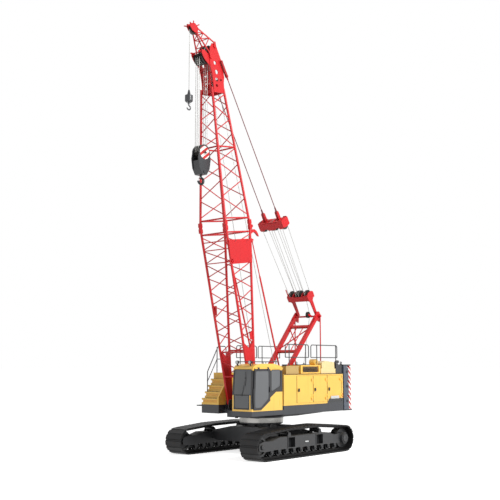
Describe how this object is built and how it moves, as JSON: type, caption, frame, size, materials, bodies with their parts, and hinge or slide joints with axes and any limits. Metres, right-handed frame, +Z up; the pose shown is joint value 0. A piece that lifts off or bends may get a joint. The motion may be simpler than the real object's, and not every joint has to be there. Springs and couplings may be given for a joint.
{
  "type": "crawler crane",
  "caption": "Crawler crane with a lattice boom: slewing upper works on tracks, cab, machinery houses, gantry, counterweight, luffing boom with hook block and tip hook.",
  "frame": {"origin": "on the ground under the middle of the crane's overall box, which is 0.22 m in front of the slewing axis", "axes": "+X to the front (boom side), +Y to the cab side (left), +Z up"},
  "size_m": [8.1664, 4.494, 15.9304],
  "materials": {
    "track_steel": "worn dark steel",
    "undercarriage_paint": "satin near-black paint",
    "ring_steel": "machined",
    "frame_paint": "satin dark grey paint",
    "house_paint": "gloss warm yellow paint",
    "boom_paint": "gloss bright red paint",
    "counterweight_paint": "satin blue-grey paint",
    "door_frame_paint": "satin dark grey paint",
    "rail_paint": "satin dark paint",
    "engine_paint": "satin grey paint",
    "winch_steel": "satin grey paint",
    "sheave_steel": "worn steel",
    "hook_paint": "satin dark grey paint",
    "hook_steel": "forged",
    "rope_steel": "greased wire rope",
    "cab_glass": "tinted",
    "seat_cloth": "dark cloth",
    "pin_steel": "machined"
  },
  "bodies": {
    "undercarriage": {"carbody": "undercarriage_paint", "slew_ring_lower": "ring_steel", "side_frame_left": "undercarriage_paint", "side_frame_right": "undercarriage_paint", "track_left": "track_steel", "track_right": "track_steel", "track_wheels": "track_steel", "track_rollers": "track_steel"},
    "upper": {"slew_ring_upper": "ring_steel", "revolving_frame": "frame_paint", "side_decks": "frame_paint", "machinery_house": "house_paint", "engine": "engine_paint", "roof_boxes": "house_paint", "cab_shell": "house_paint", "cab_glass": "cab_glass", "operator_seat": "seat_cloth", "tank": "house_paint", "right_house": "house_paint", "guard_rails_left": "rail_paint", "guard_rails_right": "rail_paint", "counterweight_tray": "frame_paint", "counterweight_slab_1": "counterweight_paint", "counterweight_slab_2": "counterweight_paint", "counterweight_slab_3": "counterweight_paint", "winches": "winch_steel", "gantry_legs": "boom_paint", "gantry_sheave": "sheave_steel", "foot_pins": "pin_steel", "back_links": "boom_paint"},
    "boom": {"boom_base": "boom_paint", "boom_top": "boom_paint", "boom_sheaves": "sheave_steel", "tip_extension": "boom_paint", "sign_board": "boom_paint"},
    "backstop_tubes": {"backstop_tubes": "boom_paint"},
    "backstop_rods": {"backstop_rods": "boom_paint"},
    "gantry_block": {"gantry_block": "boom_paint", "gantry_block_sheaves": "sheave_steel"},
    "bridle": {"bridle": "boom_paint", "bridle_sheaves": "sheave_steel", "pendants": "rope_steel"},
    "main_block": {"hook_block": "hook_paint", "block_sheaves": "sheave_steel", "main_hook": "hook_steel", "hoist_falls": "rope_steel"},
    "tip_hook": {"tip_hook": "hook_paint", "tip_rope": "rope_steel"},
    "cab_door": {"cab_door": "door_frame_paint", "cab_door_glass": "cab_glass"},
    "house_door_1": {"house_door_1": "house_paint"},
    "house_door_2": {"house_door_2": "house_paint"},
    "house_door_3": {"house_door_3": "house_paint"}
  },
  "joints": [
    {"name": "slew", "type": "hinge", "parent": "undercarriage", "child": "upper", "pos_m": [-0.19316, 0, 1.2365], "axis": [0, 0, 1], "continuous": true},
    {"name": "boom_luff", "type": "hinge", "parent": "upper", "child": "boom", "pos_m": [0.94884, 0, 1.9], "axis": [0, -1, 0], "range_deg": [-51.75, 0]},
    {"name": "backstop_swing", "type": "hinge", "parent": "upper", "child": "backstop_tubes", "pos_m": [-0.75316, 0, 2.55], "axis": [0, -1, 0], "range_deg": [-47.5, 0.5]},
    {"name": "backstop_stroke", "type": "slide", "parent": "backstop_tubes", "child": "backstop_rods", "axis": [0.3213, 0, 0.947], "range_m": [-0.01, 1.5]},
    {"name": "gantry_block_swing", "type": "hinge", "parent": "upper", "child": "gantry_block", "pos_m": [-3.17316, 0, 5.38], "axis": [0, -1, 0], "range_deg": [-48, 0.5]},
    {"name": "bridle_stroke", "type": "slide", "parent": "gantry_block", "child": "bridle", "axis": [0.5255, 0, 0.8508], "range_m": [-0.01, 4.7]},
    {"name": "main_block_hang", "type": "hinge", "parent": "boom", "child": "main_block", "pos_m": [3.22975, 0, 14.63449], "axis": [0, -1, 0], "range_deg": [-1, 53]},
    {"name": "tip_hook_hang", "type": "hinge", "parent": "boom", "child": "tip_hook", "pos_m": [3.74228, 0, 15.59084], "axis": [0, -1, 0], "range_deg": [-1, 53]},
    {"name": "cab_door_slide", "type": "slide", "parent": "upper", "child": "cab_door", "axis": [-1, 0, 0], "range_m": [0, 0.7]},
    {"name": "house_door_1_swing", "type": "hinge", "parent": "upper", "child": "house_door_1", "pos_m": [-1.38316, 1.615, 2.38], "axis": [0, 0, 1], "range_deg": [0, 95]},
    {"name": "house_door_2_swing", "type": "hinge", "parent": "upper", "child": "house_door_2", "pos_m": [-2.30316, 1.615, 2.38], "axis": [0, 0, 1], "range_deg": [0, 95]},
    {"name": "house_door_3_swing", "type": "hinge", "parent": "upper", "child": "house_door_3", "pos_m": [-3.28316, 1.615, 2.38], "axis": [0, 0, 1], "range_deg": [0, 95]}
  ],
  "couplings": [
    {"joint": "backstop_swing", "follows": "boom_luff", "ratio": 0.9},
    {"joint": "backstop_stroke", "follows": "boom_luff", "m_per_rad": -1.64},
    {"joint": "gantry_block_swing", "follows": "boom_luff", "ratio": 0.91},
    {"joint": "bridle_stroke", "follows": "boom_luff", "m_per_rad": -5.1},
    {"joint": "main_block_hang", "follows": "boom_luff", "ratio": -1},
    {"joint": "tip_hook_hang", "follows": "boom_luff", "ratio": -1}
  ]
}
